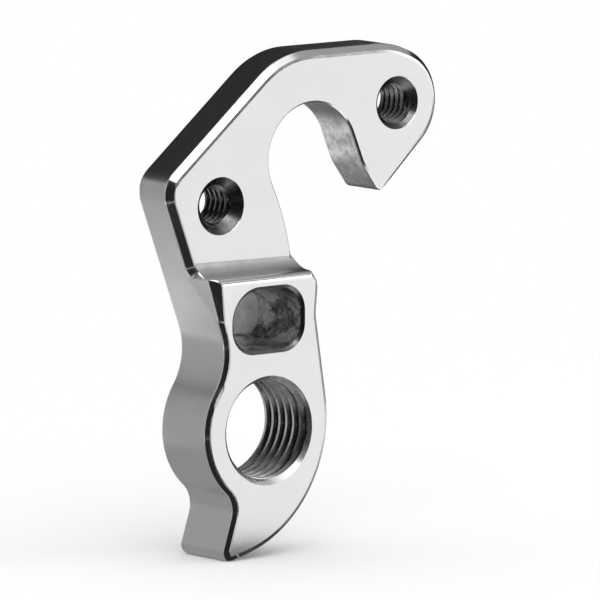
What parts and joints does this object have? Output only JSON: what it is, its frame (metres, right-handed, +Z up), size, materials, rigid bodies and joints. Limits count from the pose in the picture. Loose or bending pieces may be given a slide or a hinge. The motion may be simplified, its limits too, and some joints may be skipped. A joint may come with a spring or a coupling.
{
  "type": "bicycle derailleur hanger",
  "caption": "Hook-shaped aluminium plate that bolts to a bicycle dropout round the axle slot, with a thicker leg that carries the derailleur thread.",
  "frame": {"origin": "centre of the derailleur thread on the outboard face of the leg", "axes": "+X forward along the bicycle, +Y inboard towards the wheel, +Z up as the hanger stands on the dropout"},
  "size_m": [0.0312, 0.0069, 0.0455],
  "materials": {
    "machined_aluminium": "satin, milled and tumbled"
  },
  "bodies": {
    "root": {"hanger_body": "machined_aluminium"}
  },
  "joints": []
}
